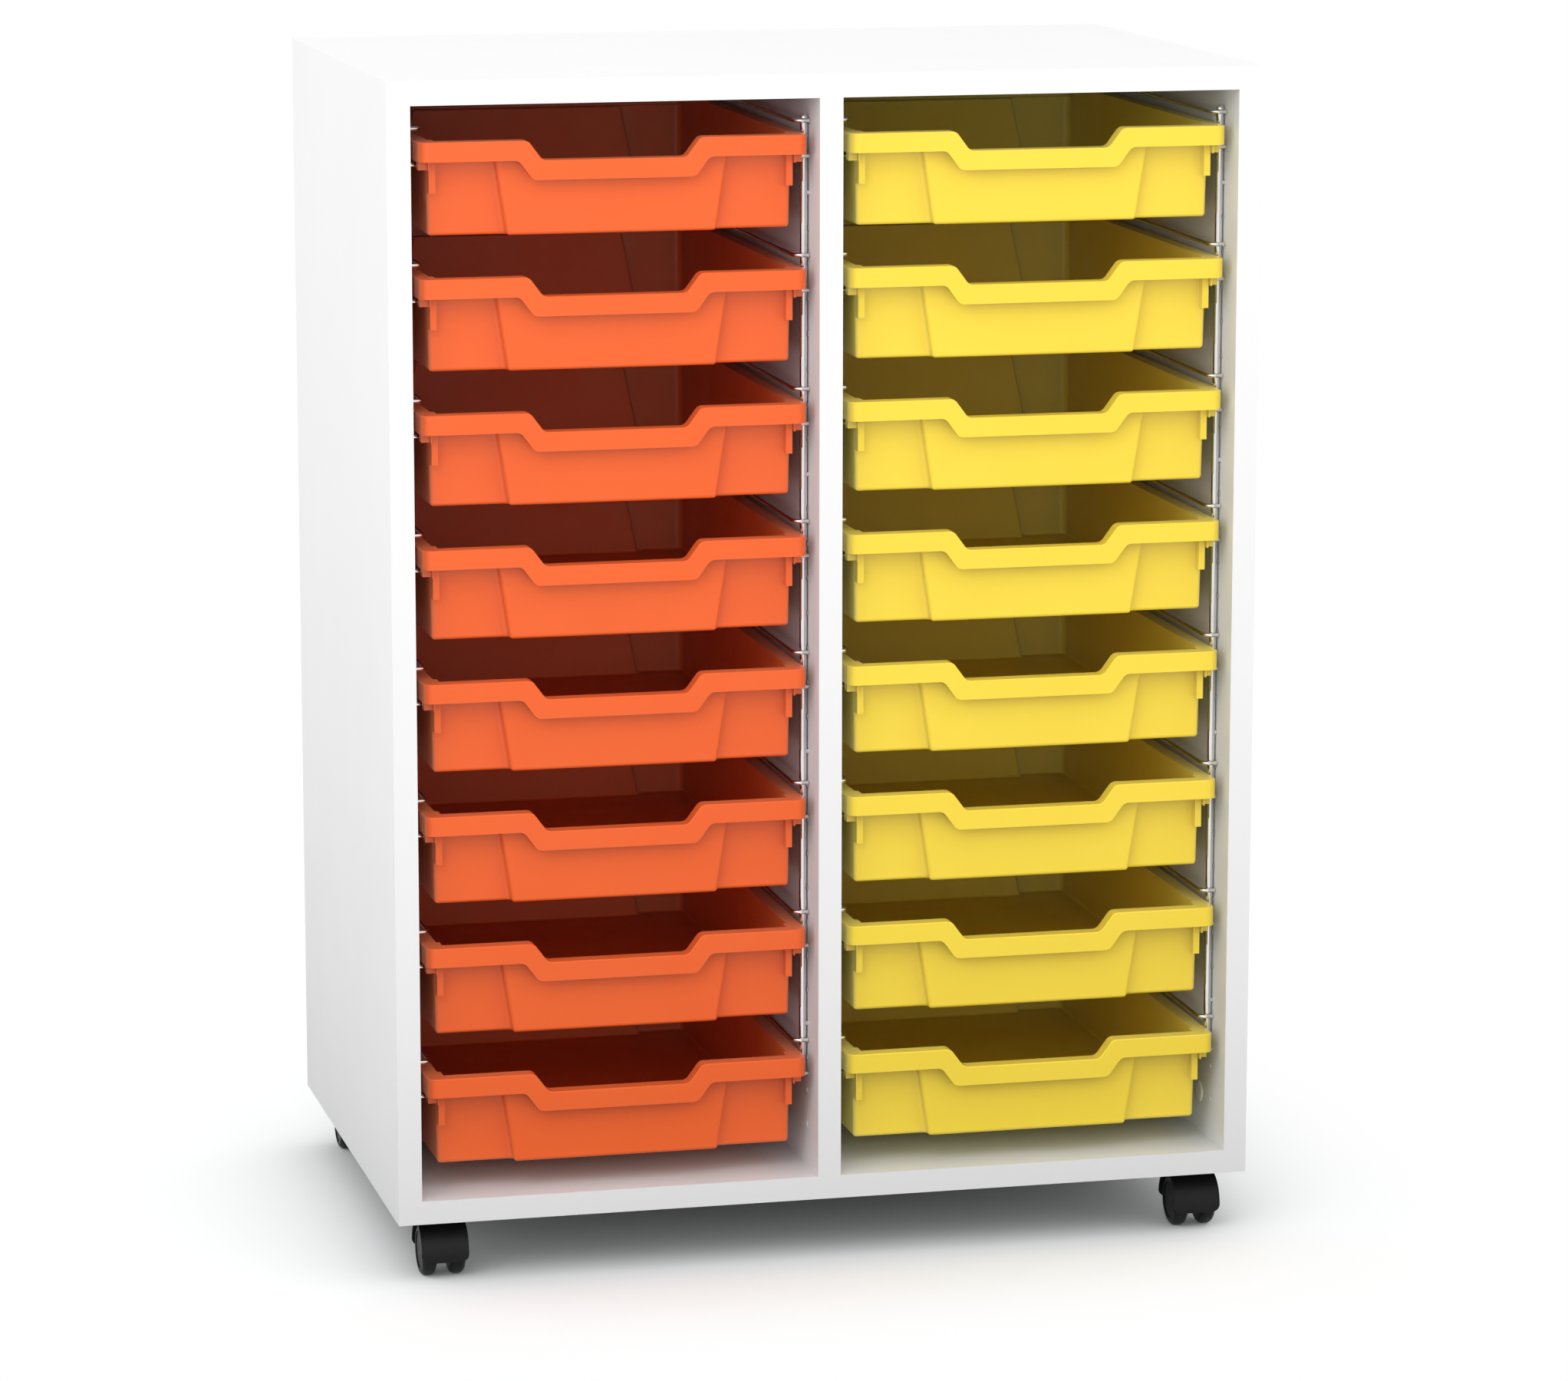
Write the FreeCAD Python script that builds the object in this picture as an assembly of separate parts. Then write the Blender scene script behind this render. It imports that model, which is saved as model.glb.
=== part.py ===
"""Mobile classroom tray storage unit: a two-bay cabinet on castors with sixteen sliding trays.

Frame: origin on the floor at the middle of the footprint, +X to the right seen from the front,
+Y towards the back, +Z up. Every size is in millimetres.
"""
import FreeCAD, Part
import math
import os

V = FreeCAD.Vector

# ---------------------------------------------------------------- cabinet
castor_height = 50.0
panel_thickness = 19.0
lipping_thickness = 1.0
back_thickness = 8.0
back_inset = 12.0
back_groove_depth = 8.0
back_groove_clearance = 0.1
tray_side_gap = 7.5
tray_back_gap = 9.5
top_tray_gap = 29.3

# ---------------------------------------------------------------- panel fittings
dowel_diameter = 8.0
dowel_length = 34.0
dowel_share_in_face = 12.0
dowel_end_gap = 1.0
dowel_setback = 127.0
cam_diameter = 15.0
cam_depth = 12.5
cam_to_panel_end = 34.0
cam_setback = 67.0
cam_bolt_diameter = 7.0
cam_bolt_thread_diameter = 5.0
cam_bolt_thread_length = 11.0
fitting_clearance = 0.1

# ---------------------------------------------------------------- rows of holes in the upright panels
hole_diameter = 5.0
hole_depth = 8.5
hole_row_setback = 37.0
hole_pitch = 28.3
first_hole_height = 35.0

# ---------------------------------------------------------------- wire runner frames
wire_diameter = 3.5
upright_diameter = 6.0
upright_panel_gap = 1.1
wire_end_gap = 0.8
wire_body_gap = 2.75
runner_bend_radius = 6.0
weld_gap = 0.02
peg_diameter = 4.4
peg_length_in_hole = 8.0
peg_holes = (3, 11, 19, 27)
keeper_clearance = 7.1
upright_overrun = 2.3

# ---------------------------------------------------------------- trays
trays_per_bay = 8
tray_pitch = 107.1
lowest_tray_lift = 23.0
tray_setback = 7.5
tray_width = 312.0
tray_depth = 427.0
tray_height = 75.0
tray_wall = 2.0
rim_height = 15.6
rim_ledge = 13.0
side_ledge = 11.5
rim_corner_radius = 8.0
rim_edge_radius = 0.9
shelf_drop = 10.5
ledge_jog_width = 3.0
ledge_jog_length = 12.0
front_wall_inset = 20.5
front_draft = 0.8
rear_wall_inset = 16.5
rear_draft = 4.0
rear_recess = 9.5
side_draft = 1.0
front_panel_width_top = 188.0
front_panel_width_base = 168.0
rear_panel_width_top = 176.0
rear_panel_width_base = 200.0
body_edge_radius = 3.0
rear_corner_radius = 7.0
dip_width_top = 138.0
dip_width_base = 115.0
dip_depth = 15.5
dip_corner_radius = 7.0
dip_band_spread = 15.0
cross_rib_thickness = 1.5
cross_rib_pitch = 42.0
cross_rib_drop = 1.5
gusset_width = 5.2
gusset_inset = 0.5
gusset_reach = 8.8
gusset_height = 25.5
stop_lug_setback = 13.0
stop_lug_drop = 7.0
stop_rib_thickness = 1.0
stop_rib_outset = 0.8
stop_rib_setback = 6.7
stop_rib_drop = 7.0
stop_clearance = 1.5
running_clearance = 0.3

# ---------------------------------------------------------------- castors
castor_side_inset = 38.8
castor_end_inset = 42.6
castor_trail = 12.0
wheel_diameter = 42.0
wheel_width = 12.0
wheel_edge_radius = 4.5
wheel_dish_depth = 0.8
wheel_dish_rim = 6.0
wheel_side_clearance = 0.5
spine_width = 10.5
hood_width = 38.6
hood_wall = 1.8
hood_wheel_gap = 1.0
hood_front_drop = 6.3
hood_rear_drop = 3.3
hood_corner_radius = 6.5
axle_diameter = 5.0
axle_depth_in_wheel = 9.0
shaft_clearance = 0.05
spine_below_axle = 5.5
kingpin_diameter = 6.0
kingpin_depth = 14.0
collar_diameter = 22.0
collar_plate_gap = 0.3
plate_size = 40.0
plate_thickness = 2.5
plate_corner_radius = 4.0
plate_hole_spacing = 29.0
screw_diameter = 4.0
screw_length = 15.0
screw_head_diameter = 7.6
screw_head_height = 2.0

# ---------------------------------------------------------------- worked out from the sizes above
bay_width = tray_width + 2 * tray_side_gap
cabinet_width = 2 * bay_width + 3 * panel_thickness
cabinet_depth = tray_setback + tray_depth + tray_back_gap + back_thickness + back_inset
tray_stack_height = lowest_tray_lift + (trays_per_bay - 1) * tray_pitch + tray_height
body_height = tray_stack_height + top_tray_gap + 2 * panel_thickness
half_width = cabinet_width / 2
front_y = -cabinet_depth / 2
rear_y = cabinet_depth / 2
underside_z = castor_height
top_z = castor_height + body_height
bay_floor_z = underside_z + panel_thickness
bay_ceiling_z = top_z - panel_thickness
panel_front_y = front_y + lipping_thickness
back_face_y = rear_y - back_inset - back_thickness
bay_centres = {"left": -(bay_width + panel_thickness) / 2, "right": (bay_width + panel_thickness) / 2}
row_ys = (front_y + hole_row_setback, back_face_y - hole_row_setback)
dowel_ys = (front_y + dowel_setback, back_face_y - dowel_setback)
cam_ys = (front_y + cam_setback, back_face_y - cam_setback)
hole_count = int((bay_ceiling_z - bay_floor_z - first_hole_height) / hole_pitch) + 1
hole_heights = [bay_floor_z + first_hole_height + n * hole_pitch for n in range(hole_count)]
runner_reach = tray_side_gap + side_ledge - tray_wall - wire_body_gap - wire_diameter / 2
body_top = tray_height - shelf_drop
wheel_radius = wheel_diameter / 2
hood_outer_radius = wheel_radius + hood_wheel_gap + hood_wall
plate_bottom_z = castor_height - plate_thickness


def tray_base_z(number):
    """Height of the underside of a tray; number 1 is the top tray."""
    return bay_floor_z + lowest_tray_lift + (trays_per_bay - number) * tray_pitch


# ---------------------------------------------------------------- shape helpers
def block(low, high):
    """Box between two corners."""
    size = V(*high) - V(*low)
    return Part.makeBox(size.x, size.y, size.z, V(*low))


def rod(start, direction, diameter, length):
    """Round bar from its start point."""
    return Part.makeCylinder(diameter / 2, length, V(*start), V(*direction))


def rounded_face(corners, place):
    """Face from (u, v, corner radius) points in order; place turns (u, v) into a vector."""
    count = len(corners)
    points = [FreeCAD.Vector(u, v, 0) for u, v, radius in corners]
    ends = []
    for i, (u, v, radius) in enumerate(corners):
        here = points[i]
        back = (points[i - 1] - here).normalize()
        ahead = (points[(i + 1) % count] - here).normalize()
        if radius == 0:
            ends.append((here, None, here))
            continue
        half_angle = back.getAngle(ahead) / 2
        reach = radius / math.tan(half_angle)
        bisector = (back + ahead).normalize()
        middle = here + bisector * (radius / math.sin(half_angle) - radius)
        ends.append((here + back * reach, middle, here + ahead * reach))
    edges = []
    for i, (start, middle, end) in enumerate(ends):
        if middle is not None:
            arc = [place(point.x, point.y) for point in (start, middle, end)]
            edges.append(Part.Arc(*arc).toShape())
        following = ends[(i + 1) % count][0]
        if end.distanceToPoint(following) > 1e-6:
            edges.append(Part.LineSegment(place(end.x, end.y), place(following.x, following.y)).toShape())
    return Part.Face(Part.Wire(edges))


def rounded_plan_block(low, high, radius):
    """Box with its four upright edges rounded."""
    x0, y0, z0 = low
    x1, y1, z1 = high
    corners = [(x0, y0, radius), (x1, y0, radius), (x1, y1, radius), (x0, y1, radius)]
    face = rounded_face(corners, lambda u, v: V(u, v, z0))
    return face.extrude(V(0, 0, z1 - z0))


def prismoid(base_points, top_points):
    """Flat-sided solid between two plan outlines of equal count, corners listed anticlockwise."""
    count = len(base_points)
    faces = [Part.Face(Part.makePolygon(base_points[::-1] + base_points[-1:]))]
    for i in range(count):
        j = (i + 1) % count
        side = [base_points[i], base_points[j], top_points[j], top_points[i], base_points[i]]
        faces.append(Part.Face(Part.makePolygon(side)))
    faces.append(Part.Face(Part.makePolygon(top_points + top_points[:1])))
    return Part.Solid(Part.Shell(faces))


def moved(shape, x=0.0, y=0.0, z=0.0):
    """Copy of a shape shifted by x, y, z."""
    copy = shape.copy()
    copy.translate(V(x, y, z))
    return copy


def turned(shape, degrees):
    """Copy of a shape turned about the upright axis through the origin."""
    copy = shape.copy()
    copy.rotate(V(0, 0, 0), V(0, 0, 1), degrees)
    return copy


def mirrored_in_x(shape):
    """Copy of a shape mirrored left to right."""
    return shape.mirror(V(0, 0, 0), V(1, 0, 0))


# ---------------------------------------------------------------- cabinet panels
def upright_panels():
    """Name, middle x, and the sides with a row of holes (-1 left face, 1 right face) of each upright."""
    edge = half_width - panel_thickness / 2
    return (
        ("left_side_panel", -edge, (1,)),
        ("centre_divider", 0.0, (-1, 1)),
        ("right_side_panel", edge, (-1,)),
    )


def fitting_spots():
    """Each joint between an upright and the top or bottom panel: x, y, z of the seam, direction, cam side."""
    for name, x, faces in upright_panels():
        for seam_z, up in ((bay_floor_z, -1), (bay_ceiling_z, 1)):
            yield x, seam_z, up, faces[-1]


def dowels(clearance):
    """Dowels that locate the uprights, as solids or, with a clearance, as their holes."""
    solids = []
    diameter = dowel_diameter + 2 * clearance
    end_gap = dowel_end_gap if clearance else 0.0
    for x, seam_z, up, cam_side in fitting_spots():
        for y in dowel_ys:
            start_z = seam_z + up * (dowel_share_in_face + end_gap)
            solids.append(rod((x, y, start_z), (0, 0, -up), diameter, dowel_length + 2 * end_gap))
    return solids


def cam_discs(clearance):
    """Cam fittings let into the faces of the uprights, as solids or as their pockets."""
    solids = []
    diameter = cam_diameter + 2 * clearance
    for x, seam_z, up, cam_side in fitting_spots():
        for y in cam_ys:
            face_x = x + cam_side * panel_thickness / 2
            start = (face_x, y, seam_z - up * cam_to_panel_end)
            disc = rod(start, (-cam_side, 0, 0), diameter, cam_depth + clearance)
            if not clearance:
                slot_diameter = cam_bolt_diameter + 4 * fitting_clearance
                slot = rod((x, y, seam_z), (0, 0, -up), slot_diameter, cam_to_panel_end)
                disc = disc.cut(slot)
            solids.append(disc)
    return solids


def cam_bolts(clearance):
    """Bolts screwed into the top and bottom panels that the cams pull on, as solids or as their holes."""
    solids = []
    shank_length = cam_to_panel_end - fitting_clearance
    for x, seam_z, up, cam_side in fitting_spots():
        for y in cam_ys:
            shank = rod((x, y, seam_z), (0, 0, -up), cam_bolt_diameter + 2 * clearance, shank_length)
            thread_diameter = cam_bolt_thread_diameter + 2 * clearance
            thread = rod((x, y, seam_z), (0, 0, up), thread_diameter, cam_bolt_thread_length)
            solids.append(shank.fuse(thread).removeSplitter())
    return solids


def system_holes():
    """Blind holes in rows down the faces of the uprights."""
    holes = []
    for name, x, faces in upright_panels():
        for side in faces:
            face_x = x + side * panel_thickness / 2
            for y in row_ys:
                for z in hole_heights:
                    holes.append(rod((face_x, y, z), (-side, 0, 0), hole_diameter, hole_depth))
    return holes


def back_groove():
    """Room for the back panel, let into the four outer panels."""
    reach_x = half_width - panel_thickness + back_groove_depth
    low = (-reach_x, back_face_y - back_groove_clearance, bay_floor_z - back_groove_depth)
    high = (reach_x, rear_y - back_inset + back_groove_clearance, bay_ceiling_z + back_groove_depth)
    return block(low, high)


def cut_within(panel, cutters):
    """Panel less those cutters that reach it."""
    reached = [cutter for cutter in cutters if cutter.BoundBox.intersect(panel.BoundBox)]
    return panel.cut(reached)


def cabinet_panels():
    """The six boards of the cabinet with every groove and hole."""
    panels = {}
    panels["bottom_panel"] = block((-half_width, panel_front_y, underside_z), (half_width, rear_y, bay_floor_z))
    panels["top_panel"] = block((-half_width, panel_front_y, bay_ceiling_z), (half_width, rear_y, top_z))
    for name, x, faces in upright_panels():
        end_y = back_face_y if name == "centre_divider" else rear_y
        low = (x - panel_thickness / 2, panel_front_y, bay_floor_z)
        high = (x + panel_thickness / 2, end_y, bay_ceiling_z)
        panels[name] = block(low, high)
    cutters = dowels(fitting_clearance) + cam_discs(fitting_clearance) + cam_bolts(fitting_clearance)
    cutters += system_holes() + screw_holes()
    for name in panels:
        panels[name] = cut_within(panels[name], cutters)
        if name != "centre_divider":
            panels[name] = panels[name].cut(back_groove())
    margin = back_groove_depth - back_groove_clearance
    inner_x = half_width - panel_thickness + margin
    low = (-inner_x, back_face_y, bay_floor_z - margin)
    high = (inner_x, rear_y - back_inset, bay_ceiling_z + margin)
    panels["back_panel"] = block(low, high)
    return panels


def edge_lipping():
    """Edge strips glued to the front edges of the boards."""
    strips = [block((-half_width, front_y, underside_z), (half_width, panel_front_y, bay_floor_z))]
    strips.append(block((-half_width, front_y, bay_ceiling_z), (half_width, panel_front_y, top_z)))
    for name, x, faces in upright_panels():
        low = (x - panel_thickness / 2, front_y, bay_floor_z)
        high = (x + panel_thickness / 2, panel_front_y, bay_ceiling_z)
        strips.append(block(low, high))
    return strips


# ---------------------------------------------------------------- wire runner frames
def runner_wire():
    """One runner at height 0, its panel at x = 0: out from the panel, along the bay and back."""
    wire_offset = (upright_diameter + wire_diameter) / 2 + weld_gap
    front = row_ys[0] - wire_offset
    rear = row_ys[1] + wire_offset
    bend = runner_bend_radius
    slant = bend * (1 - math.sqrt(0.5))
    path = [
        Part.LineSegment(V(wire_end_gap, front, 0), V(runner_reach - bend, front, 0)),
        Part.Arc(V(runner_reach - bend, front, 0), V(runner_reach - slant, front + slant, 0),
                 V(runner_reach, front + bend, 0)),
        Part.LineSegment(V(runner_reach, front + bend, 0), V(runner_reach, rear - bend, 0)),
        Part.Arc(V(runner_reach, rear - bend, 0), V(runner_reach - slant, rear - slant, 0),
                 V(runner_reach - bend, rear, 0)),
        Part.LineSegment(V(runner_reach - bend, rear, 0), V(wire_end_gap, rear, 0)),
    ]
    spine = Part.Wire([piece.toShape() for piece in path])
    section = Part.Wire(Part.makeCircle(wire_diameter / 2, V(wire_end_gap, front, 0), V(1, 0, 0)))
    return spine.makePipeShell([section], True, False)


def runner_heights():
    """Middle heights of the carrying wire and the keeper wire of every tray."""
    heights = []
    for number in range(1, trays_per_bay + 1):
        rim_top = tray_base_z(number) + tray_height
        heights.append(rim_top - rim_height - cross_rib_drop - running_clearance - wire_diameter / 2)
        heights.append(rim_top + keeper_clearance + wire_diameter / 2)
    return heights


def upright_wire(y, low_z, high_z):
    """One upright of a frame with a domed top and the pegs that hang it in the panel holes."""
    x = upright_panel_gap + upright_diameter / 2
    wire = rod((x, y, low_z), (0, 0, 1), upright_diameter, high_z - low_z)
    wire = wire.fuse(Part.makeSphere(upright_diameter / 2, V(x, y, high_z)))
    for index in peg_holes:
        if index < hole_count:
            peg = rod((x, y, hole_heights[index]), (-1, 0, 0), peg_diameter, x + peg_length_in_hole)
            wire = wire.fuse(peg)
    return wire.removeSplitter()


def runner_frame():
    """Welded frame for one side of a bay, its panel at x = 0 and the bay towards +X."""
    heights = runner_heights()
    wire = runner_wire()
    solids = [moved(wire, z=z) for z in heights]
    low_z = min(heights) - wire_diameter / 2
    high_z = max(heights) + upright_overrun
    solids += [upright_wire(y, low_z, high_z) for y in row_ys]
    return Part.makeCompound(solids)


# ---------------------------------------------------------------- trays
def tray_outline(z, fall, wall):
    """Plan corners of the tray's body, shrunk by a wall; fall runs from 0 at the shelf to 1 at the base."""
    side = tray_width / 2 - side_ledge + tray_wall - fall * side_draft - wall
    front = front_wall_inset + fall * front_draft + wall
    front_panel = rim_ledge - tray_wall + fall * front_draft + wall
    front_half = (front_panel_width_top + fall * (front_panel_width_base - front_panel_width_top)) / 2 - wall
    rear = tray_depth - rear_wall_inset - fall * rear_draft - wall
    rear_panel = rear - rear_recess
    rear_half = (rear_panel_width_top + fall * (rear_panel_width_base - rear_panel_width_top)) / 2 + wall
    plan = [(-side, front), (-front_half, front), (-front_half, front_panel), (front_half, front_panel),
            (front_half, front), (side, front), (side, rear), (rear_half, rear), (rear_half, rear_panel),
            (-rear_half, rear_panel), (-rear_half, rear), (-side, rear)]
    return [V(x, y, z) for x, y in plan]


def tray_shell_core(floor, wall, radius, rear_radius):
    """Body of the tray from its floor level to the shelf, with its upright and bottom edges rounded."""
    solid = prismoid(tray_outline(floor, 1.0, wall), tray_outline(body_top, 0.0, wall))
    rear_corners = [edge for edge in solid.Edges if is_rear_corner(edge)]
    solid = solid.makeFillet(rear_radius, rear_corners)
    lower_edges = [edge for edge in solid.Edges if edge.BoundBox.ZMin < body_top - tray_wall]
    return solid.makeFillet(radius, [edge for edge in lower_edges if not is_rear_corner(edge)])


def is_rear_corner(edge):
    """True for the upright edges where the side walls meet the rear wall, sharp or rounded."""
    box = edge.BoundBox
    upright = box.ZLength > body_top / 2
    outer = max(abs(box.XMin), abs(box.XMax)) > rear_panel_width_base / 2 + tray_wall
    return upright and outer and box.YMin > tray_depth / 2


def rim_plan_block(side_inset, end_inset, z0, z1):
    """Block under the rim's outline, drawn in from it at the sides and at the front and rear."""
    radius = max(rim_corner_radius - side_inset, rim_corner_radius / 2)
    half = tray_width / 2 - side_inset
    return rounded_plan_block((-half, end_inset, z0), (half, tray_depth - end_inset, z1), radius)


def dip_outline(drop, widen, low):
    """Front view of the hand dip's edge as (x, z, radius) points, lowered and widened."""
    top = tray_height - drop
    outer = dip_width_top / 2 + widen
    inner = dip_width_base / 2 + widen
    radius = dip_corner_radius
    run = [(-outer, top, radius), (-inner, top - dip_depth, radius)]
    run += [(inner, top - dip_depth, radius), (outer, top, radius)]
    end = outer + 3 * dip_corner_radius
    return [(-end, low, 0), (-end, top, 0)] + run + [(end, top, 0), (end, low, 0)]


def dip_block(drop, widen, low, y0, y1):
    """Material or space bounded by the hand dip's edge, between two depths."""
    face = rounded_face(dip_outline(drop, widen, low), lambda u, v: V(u, y0, v))
    return face.extrude(V(0, y1 - y0, 0))


def tray_side_features():
    """Cross ribs, gusset, stop lug and inner corner step of the right-hand rim."""
    rim_bottom = tray_height - rim_height
    skirt_x = tray_width / 2 - tray_wall
    wall_x = tray_width / 2 - side_ledge + tray_wall
    sheet_z = tray_height - tray_wall / 2
    parts = []
    rib_count = int((tray_depth - 2 * cross_rib_pitch) / cross_rib_pitch) + 1
    first_rib_y = (tray_depth - (rib_count - 1) * cross_rib_pitch) / 2
    for n in range(rib_count):
        y = first_rib_y + n * cross_rib_pitch
        low = (wall_x - tray_wall / 2, y - cross_rib_thickness / 2, rim_bottom - cross_rib_drop)
        high = (skirt_x + tray_wall / 2, y + cross_rib_thickness / 2, sheet_z)
        parts.append(block(low, high))
    gusset_x = wall_x - gusset_inset
    low = (gusset_x - gusset_width, front_wall_inset - gusset_reach, rim_bottom - gusset_height)
    high = (gusset_x, front_wall_inset + tray_wall, body_top - tray_wall / 2)
    parts.append(block(low, high))
    runner_front = hole_row_setback - upright_diameter / 2 - weld_gap - wire_diameter
    low = (wall_x - tray_wall / 2, stop_lug_setback, rim_bottom - stop_lug_drop)
    high = (skirt_x, runner_front - stop_clearance - tray_setback, sheet_z)
    parts.append(block(low, high))
    rib_x = wall_x + stop_rib_outset
    low = (rib_x - stop_rib_thickness, stop_rib_setback, rim_bottom - stop_rib_drop)
    high = (rib_x, front_wall_inset + tray_wall, sheet_z)
    parts.append(block(low, high))
    low = (tray_width / 2 - side_ledge - ledge_jog_width, rim_ledge - tray_wall / 2, body_top - tray_wall / 2)
    high = (tray_width / 2 - side_ledge + tray_wall / 2, rim_ledge + ledge_jog_length, tray_height)
    parts.append(block(low, high))
    return parts


def tray():
    """One tray: middle of its width at x = 0, front of the rim at y = 0, underside at z = 0."""
    rim_bottom = tray_height - rim_height
    channel = rim_ledge - tray_wall
    side_channel = side_ledge - tray_wall
    middle_half = dip_width_top / 2 + 3 * dip_corner_radius

    rim = rim_plan_block(0.0, 0.0, rim_bottom, tray_height)
    rim = rim.cut(rim_plan_block(side_channel, channel, rim_bottom, body_top - tray_wall))
    band = dip_block(rim_height, dip_band_spread / 2, tray_height - tray_wall, 0.0, rim_ledge)
    solid = tray_shell_core(0.0, 0.0, body_edge_radius, rear_corner_radius).fuse([rim, band])

    hollow = rim_plan_block(tray_wall, tray_wall, rim_bottom, tray_height - tray_wall)
    hollow = hollow.cut(rim_plan_block(side_channel, channel, rim_bottom, tray_height))
    hollow = hollow.cut(block((-middle_half, 0, 0), (middle_half, rim_ledge, tray_height)))
    widen = tray_wall / 2
    front_hollow = dip_block(tray_wall, widen, 0.0, tray_wall, channel)
    front_hollow = front_hollow.common(block((-middle_half, 0, 0), (middle_half, rim_ledge, tray_height)))
    solid = solid.cut([hollow, front_hollow])

    solid = solid.cut(rim_plan_block(side_ledge, rim_ledge, body_top, tray_height + 1))
    inner_radius = body_edge_radius - tray_wall / 2
    solid = solid.cut(tray_shell_core(tray_wall, tray_wall, inner_radius, rear_corner_radius - tray_wall / 2))
    notch = dip_block(0.0, 0.0, tray_height + 1, -1.0, rim_ledge + tray_wall)
    solid = solid.cut(notch)

    features = tray_side_features()
    features += [mirrored_in_x(feature) for feature in features]
    solid = solid.fuse(features).removeSplitter()
    return round_rim_edge(solid)


def round_rim_edge(solid):
    """Softens the outer top edge of the rim all the way round, through the hand dip."""
    half = tray_width / 2
    lowest = tray_height - dip_depth - 0.01
    chosen = []
    for edge in solid.Edges:
        box = edge.BoundBox
        on_front = box.YMax < 0.01 and box.ZMin > lowest
        on_outline = box.ZMin > tray_height - 0.01
        near_corner = box.YMax < rim_corner_radius + 0.01 or box.YMin > tray_depth - rim_corner_radius - 0.01
        outside = max(abs(box.XMin), abs(box.XMax)) > half - 0.01 or box.YMax > tray_depth - 0.01
        if on_front and not_lower_edge(edge) or on_outline and outside and (near_corner or box.XLength < 0.01):
            chosen.append(edge)
    return solid.makeFillet(rim_edge_radius, chosen)


def not_lower_edge(edge):
    """True for an edge on the dip's upper line rather than the band's lower line."""
    middle = edge.valueAt((edge.FirstParameter + edge.LastParameter) / 2)
    across = max(0.0, min(1.0, (dip_width_top / 2 - abs(middle.x)) / ((dip_width_top - dip_width_base) / 2)))
    line_z = tray_height - across * dip_depth
    return abs(middle.z - line_z) < rim_height / 3


def tray_nodes():
    """Every tray in its place."""
    shape = tray()
    nodes = {}
    for bay, centre_x in bay_centres.items():
        for number in range(1, trays_per_bay + 1):
            placed = moved(shape, centre_x, front_y + tray_setback, tray_base_z(number))
            nodes["tray_%s_%d" % (bay, number)] = placed
    return nodes


# ---------------------------------------------------------------- castors
def castor_places():
    """Name, swivel axis and turn of each castor; the wheels point out of the cabinet's end."""
    x = half_width - castor_side_inset
    y = cabinet_depth / 2 - castor_end_inset
    return (
        ("front_left", -x, -y, 0),
        ("front_right", x, -y, 0),
        ("rear_left", -x, y, 180),
        ("rear_right", x, y, 180),
    )


def castor_hood():
    """Hood with the spine between the wheels; the swivel axis is the z axis and the wheels lie towards -Y."""
    axle_y = -castor_trail
    axle_z = wheel_radius
    half = hood_width / 2
    inner_radius = hood_outer_radius - hood_wall
    outer = rod((-half, axle_y, axle_z), (1, 0, 0), 2 * hood_outer_radius, hood_width)
    inner = rod((-half, axle_y, axle_z), (1, 0, 0), 2 * inner_radius, hood_width)
    shell = outer.cut(inner)
    front_limit = block((-half, axle_y - 2 * wheel_radius, axle_z - hood_front_drop),
                        (half, axle_y, axle_z + 2 * wheel_radius))
    rear_limit = block((-half, axle_y, axle_z - hood_rear_drop),
                       (half, axle_y + 2 * wheel_radius, axle_z + 2 * wheel_radius))
    shell = shell.common(front_limit.fuse(rear_limit)).removeSplitter()
    corners = [edge for edge in shell.Edges if is_hood_corner(edge, half, axle_z)]
    shell = shell.makeFillet(hood_corner_radius, corners)

    spine = rod((-spine_width / 2, axle_y, axle_z), (1, 0, 0), 2 * inner_radius + hood_wall, spine_width)
    keep_low = axle_z - spine_below_axle
    spine = spine.common(block((-spine_width / 2, axle_y - hood_outer_radius, keep_low),
                               (spine_width / 2, axle_y + hood_outer_radius, castor_height)))
    collar_top = plate_bottom_z - collar_plate_gap
    collar_low = axle_z + inner_radius * 0.5
    collar = rod((0, 0, collar_low), (0, 0, 1), collar_diameter, collar_top - collar_low)
    collar = collar.cut(inner)
    hood = shell.fuse([spine, collar])
    axle_hole = rod((-half, axle_y, axle_z), (1, 0, 0), axle_diameter, hood_width)
    pin_hole_length = kingpin_depth + collar_plate_gap
    pin_hole = rod((0, 0, plate_bottom_z - pin_hole_length), (0, 0, 1), kingpin_diameter + 2 * shaft_clearance,
                   pin_hole_length)
    return hood.cut([axle_hole, pin_hole]).removeSplitter()


def is_hood_corner(edge, half, axle_z):
    """True for the short edges at the hood's four lower corners."""
    box = edge.BoundBox
    on_side = abs(abs(box.XMin) - half) < 0.01 and box.XLength < 0.01
    short = edge.Length < 2 * hood_wall
    return on_side and short and box.ZMax < axle_z + 0.01


def castor_wheel(side):
    """One wheel beside the spine; side is -1 or 1. The outer face has a dished cap."""
    radius = wheel_radius
    inner_x = spine_width / 2 + wheel_side_clearance
    outer_x = inner_x + wheel_width
    wheel = rod((inner_x, 0, 0), (1, 0, 0), 2 * radius, wheel_width)
    rims = [edge for edge in wheel.Edges if edge.BoundBox.XLength < 0.01]
    wheel = wheel.makeFillet(wheel_edge_radius, rims)
    dish_diameter = 2 * (radius - wheel_dish_rim)
    wheel = wheel.cut(rod((outer_x - wheel_dish_depth, 0, 0), (1, 0, 0), dish_diameter, wheel_dish_depth))
    bore_length = axle_depth_in_wheel + shaft_clearance
    wheel = wheel.cut(rod((inner_x, 0, 0), (1, 0, 0), axle_diameter + 2 * shaft_clearance, bore_length))
    wheel.translate(V(0, -castor_trail, radius))
    return wheel if side > 0 else mirrored_in_x(wheel)


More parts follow.
